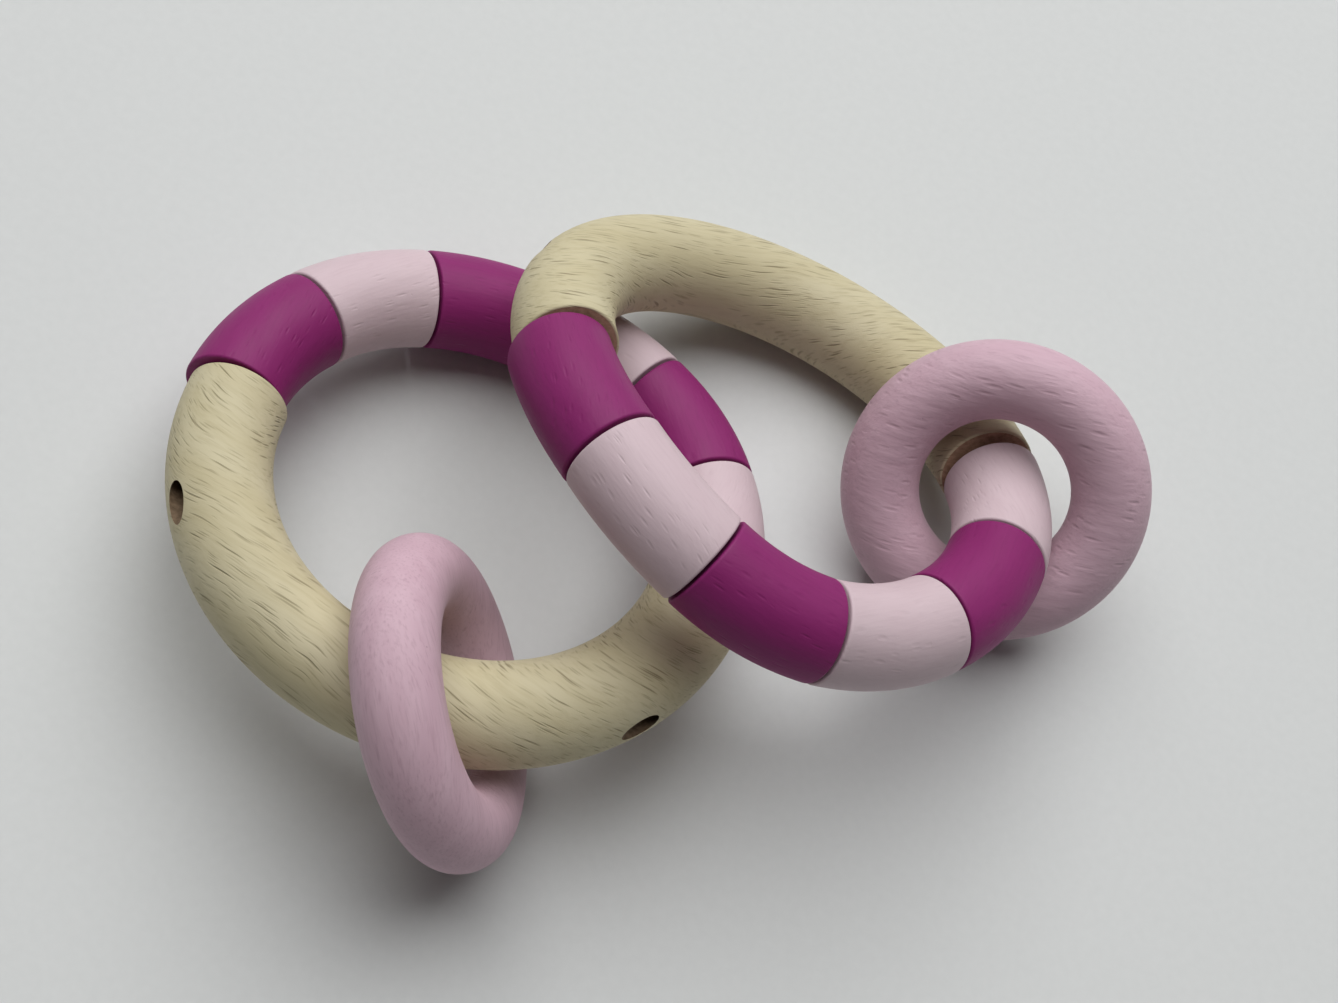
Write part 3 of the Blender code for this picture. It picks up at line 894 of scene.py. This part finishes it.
@dataclass
class HalfRing:
    """Bare beech half ring with a stepped cord bore at each end."""

    prefix: str
    grain_deg: float
    bar: Bar = field(default_factory=Bar)
    shank_radius: float = 0.0010
    mouth_radius: float = 0.00145
    step_depth: float = 0.0090
    bore_sides: int = 40
    bore_slot: int = 2
    grain_roll_deg: float = -40.0

    def ring_frame(self) -> Matrix:
        """Return the ring's frame.

        Returns:
            The frame, with its origin at the ring's centre and X to the first seam.
        """
        hinge = joint(f"{self.prefix}_small_ring_travel")
        across = self.knot(1) - self.knot(2)
        return frame_of(Vector(hinge["pos_m"]), across, Vector(hinge["axis"]))

    def knot(self, number: int) -> Vector:
        """Return the middle of one of the cord's knots."""
        return Vector(node_points(f"{self.prefix}_knot_{number}").mean(axis=0))

    def side(self, place: Matrix) -> float:
        """Return 1 where the half ring lies on the frame's +Y side, else -1."""
        middle = Vector(node_points(f"{self.prefix}_half_ring").mean(axis=0))
        return math.copysign(1.0, (place.inverted() @ middle).y)

    def bore_mesh(self, name: str) -> bpy.types.Mesh:
        """Return the form of one stepped bore.

        Args:
            name: Name of the mesh.

        Returns:
            The mesh, running along +Y from the end face at height 0.
        """
        outer = self.bar.bend_radius + self.bar.radius
        way_out = math.sqrt(outer**2 - (self.bar.bend_radius - self.mouth_radius) ** 2)
        profile = (
            (self.shank_radius, -self.bar.radius),
            (self.shank_radius, self.step_depth),
            (self.mouth_radius, self.step_depth),
            (self.mouth_radius, way_out + self.bar.radius),
        )
        turn = circle(self.bore_sides)
        rings = [
            np.stack((radius * np.cos(turn), np.full_like(turn, height), radius * np.sin(turn)), axis=1)
            for radius, height in profile
        ]
        mesh = banded_mesh(name, np.array(rings), closed=False)
        mesh.polygons.foreach_set("material_index", [self.bore_slot] * len(mesh.polygons))
        return mesh

    def cut_bores(self, obj: bpy.types.Object, place: Matrix) -> None:
        """Cut the two bores out of the half ring, each from its end face to its knot and out.

        Args:
            obj: The half ring, with its three materials.
            place: The ring's frame.
        """
        for number, sign in ((1, 1.0), (2, -1.0)):
            name = f"{self.prefix}_bore_{number}"
            mesh = self.bore_mesh(name)
            for material in obj.data.materials:
                mesh.materials.append(material)
            start = place @ Vector((sign * self.bar.bend_radius, 0.0, 0.0))
            way = self.knot(number) - start
            turn = way.to_track_quat("Y", "Z").to_matrix().to_4x4()
            cutter = show(name, mesh, Matrix.Translation(start) @ turn)
            modifier = obj.modifiers.new(name, "BOOLEAN")
            modifier.operation = "DIFFERENCE"
            modifier.solver = "EXACT"
            modifier.object = cutter
            bpy.context.view_layer.update()
            shape = obj.evaluated_get(bpy.context.evaluated_depsgraph_get())
            cut = bpy.data.meshes.new_from_object(shape)
            obj.modifiers.clear()
            obj.data = cut
            bpy.data.objects.remove(cutter, do_unlink=True)
        soften(obj.data)

    def build(self) -> None:
        """Build and dress the half ring."""
        node = f"{self.prefix}_half_ring"
        place = self.ring_frame()
        begin, end = (0.0, math.pi) if self.side(place) > 0.0 else (-math.pi, 0.0)
        rings = np.array([self.bar.section(*station) for station in self.bar.stations(begin, end)])
        mesh = banded_mesh(node + "_turned", rings, closed=False)
        turn = Matrix.Rotation(math.radians(self.grain_deg), 4, "Z")
        roll = Matrix.Rotation(math.radians(self.grain_roll_deg), 4, "X")
        mesh.materials.append(BEECH.material(node + "_beech", place @ turn @ roll))
        mesh.materials.append(SAWN_END_WITH_BOUNCE.material(node + "_bare_end"))
        mesh.materials.append(SHADED_BORE.material(node + "_bore"))
        obj = show(node + "_turned", mesh, place)
        self.cut_bores(obj, place)
        stand_for(obj, node)


@dataclass
class SmallRing:
    """Small painted ring, threaded loose on the big ring."""

    prefix: str
    grain_deg: float
    paint: SatinPaint
    steps: int = 144
    sides: int = 64

    def measure(self, node: str) -> tuple[Matrix, Bar]:
        """Measure the ring's node.

        Args:
            node: Name of the node.

        Returns:
            The ring's frame, with its axis up, and its bent bar.
        """
        points = node_points(node)
        centre = points.mean(axis=0)
        away = points - centre
        axis = np.linalg.svd(away, full_matrices=False)[2][2]
        upright = Vector(axis) * math.copysign(1.0, axis[2])
        reach = np.linalg.norm(away - np.outer(away @ axis, axis), axis=1)
        bar = Bar(
            bend_radius=float(reach.max() + reach.min()) / 2.0,
            radius=float(reach.max() - reach.min()) / 2.0,
            sides=self.sides,
        )
        return frame_of(Vector(centre), Vector((1.0, 0.0, 0.0)), upright), bar

    def build(self) -> None:
        """Build and dress the small ring, with its place and size from its node."""
        node = f"{self.prefix}_small_ring"
        place, bar = self.measure(node)
        rings = np.array([bar.section(float(angle), bar.radius) for angle in circle(self.steps)])
        mesh = banded_mesh(node + "_painted", rings, closed=True)
        grain = place @ Matrix.Rotation(math.radians(self.grain_deg), 4, "Z")
        mesh.materials.append(self.paint.material(node + "_paint", grain))
        stand_for(show(node + "_painted", mesh, place), node)


@dataclass
class ElasticCord:
    """Elastic cord and its two knots, which keep their CAD shape."""

    prefix: str

    def build(self) -> None:
        """Dress the cord and its knots."""
        material = WOUND_ELASTIC.material(self.prefix + "_elastic")
        for part in ("cord", "knot_1", "knot_2"):
            node = frame["nodes"][f"{self.prefix}_{part}"]
            node.data.materials.clear()
            node.data.materials.append(material)
            LOG.info("%s is dressed as elastic", node.name)


@dataclass
class Teether:
    """One whole teether."""

    prefix: str
    grain_deg: float
    ring_grain_deg: float
    ring_paint: SatinPaint

    def build(self) -> None:
        """Build and dress the teether's pieces in order."""
        HalfRing(self.prefix, self.grain_deg).build()
        BeadChain(self.prefix).build()
        ElasticCord(self.prefix).build()
        SmallRing(self.prefix, self.ring_grain_deg, self.ring_paint).build()


class LampKind(Enum):
    """Kinds of light that the studio uses, by Blender's names."""

    PANEL = "AREA"
    SKY = "SUN"


@dataclass
class Lamp:
    """Soft light turned to the origin: a square panel, or an even patch of sky."""

    name: str
    kind: LampKind
    place: Triple
    width: float
    power: float

    def build(self) -> None:
        """Add the lamp, its width in metres for a panel and in degrees for a sky."""
        light = bpy.data.lights.new(self.name, self.kind.value)
        if self.kind is LampKind.PANEL:
            light.size = self.width
        else:
            light.angle = math.radians(self.width)
        light.energy = self.power
        obj = bpy.data.objects.new(self.name, light)
        bpy.context.scene.collection.objects.link(obj)
        obj.location = self.place
        obj.rotation_euler = (-Vector(self.place)).to_track_quat("-Z", "Y").to_euler()


@dataclass
class Studio:
    """Table top, soft light and the camera."""

    table_width: float = 16.0
    world_strength: float = 0.03
    backdrop: Colour = (0.62, 0.63, 0.63)
    eye: Triple = (0.001381, -0.122803, 0.254271)
    elevation_deg: float = 62.0
    roll_deg: float = 25.45
    lens: float = 61.88
    sensor: float = 36.0
    lamps: tuple[Lamp, ...] = (
        Lamp("window", LampKind.PANEL, (-0.0856, 0.2784, 0.5475), 0.80, 2.70),
        Lamp("daylight", LampKind.SKY, (-0.138, 0.449, 0.883), 66.0, 1.74),
    )

    def table(self) -> None:
        """Add the table top under the object."""
        bm = bmesh.new()
        bmesh.ops.create_grid(bm, x_segments=1, y_segments=1, size=self.table_width / 2.0)
        mesh = bpy.data.meshes.new("table_top")
        bm.to_mesh(mesh)
        bm.free()
        mesh.materials.append(TABLE_TOP.material("table_top"))
        show("table_top", mesh, Matrix())

    def world(self) -> None:
        """Light the scene softly from all round and show a pale backdrop to the eye and in reflections."""
        world = bpy.data.worlds.new("soft_room")
        world.use_nodes = True
        tree = world.node_tree
        light = tree.nodes["Background"]
        light.inputs["Color"].default_value = (1.0, 1.0, 1.0, 1.0)
        light.inputs["Strength"].default_value = self.world_strength
        shown = tree.nodes.new("ShaderNodeBackground")
        shown.inputs["Color"].default_value = (*self.backdrop, 1.0)
        path = tree.nodes.new("ShaderNodeLightPath")
        mix = tree.nodes.new("ShaderNodeMixShader")
        seen = path.outputs["Is Camera Ray"]
        for kind in ("Is Glossy Ray", "Is Transmission Ray"):
            either = tree.nodes.new("ShaderNodeMath")
            either.operation = "MAXIMUM"
            tree.links.new(seen, either.inputs[0])
            tree.links.new(path.outputs[kind], either.inputs[1])
            seen = either.outputs["Value"]
        tree.links.new(seen, mix.inputs["Fac"])
        tree.links.new(light.outputs["Background"], mix.inputs[1])
        tree.links.new(shown.outputs["Background"], mix.inputs[2])
        tree.links.new(mix.outputs["Shader"], tree.nodes["World Output"].inputs["Surface"])
        bpy.context.scene.world = world

    def camera(self) -> None:
        """Add the camera at the photograph's place and turn."""
        lens = bpy.data.cameras.new("camera")
        lens.sensor_fit = "HORIZONTAL"
        lens.sensor_width = self.sensor
        lens.lens = self.lens
        camera = bpy.data.objects.new("camera", lens)
        bpy.context.scene.collection.objects.link(camera)
        pitch = Matrix.Rotation(math.radians(90.0 - self.elevation_deg), 4, "X")
        roll = Matrix.Rotation(math.radians(self.roll_deg), 4, "Z")
        camera.matrix_world = Matrix.Translation(self.eye) @ pitch @ roll
        bpy.context.scene.camera = camera

    def build(self) -> None:
        """Build the studio."""
        self.table()
        self.world()
        for lamp in self.lamps:
            lamp.build()
        self.camera()
        bpy.context.scene.view_settings.view_transform = "Standard"
        LOG.info("studio with %d lamps", len(self.lamps))


def main() -> None:
    """Build both teethers and the studio round them."""
    logging.basicConfig(level=logging.INFO, format="%(message)s")
    Teether("a", grain_deg=-16.0, ring_grain_deg=-15.0, ring_paint=SMOOTH_PINK).build()
    Teether("b", grain_deg=13.0, ring_grain_deg=12.0, ring_paint=DENTED_PINK).build()
    Studio().build()


if __name__ == "__main__":
    main()
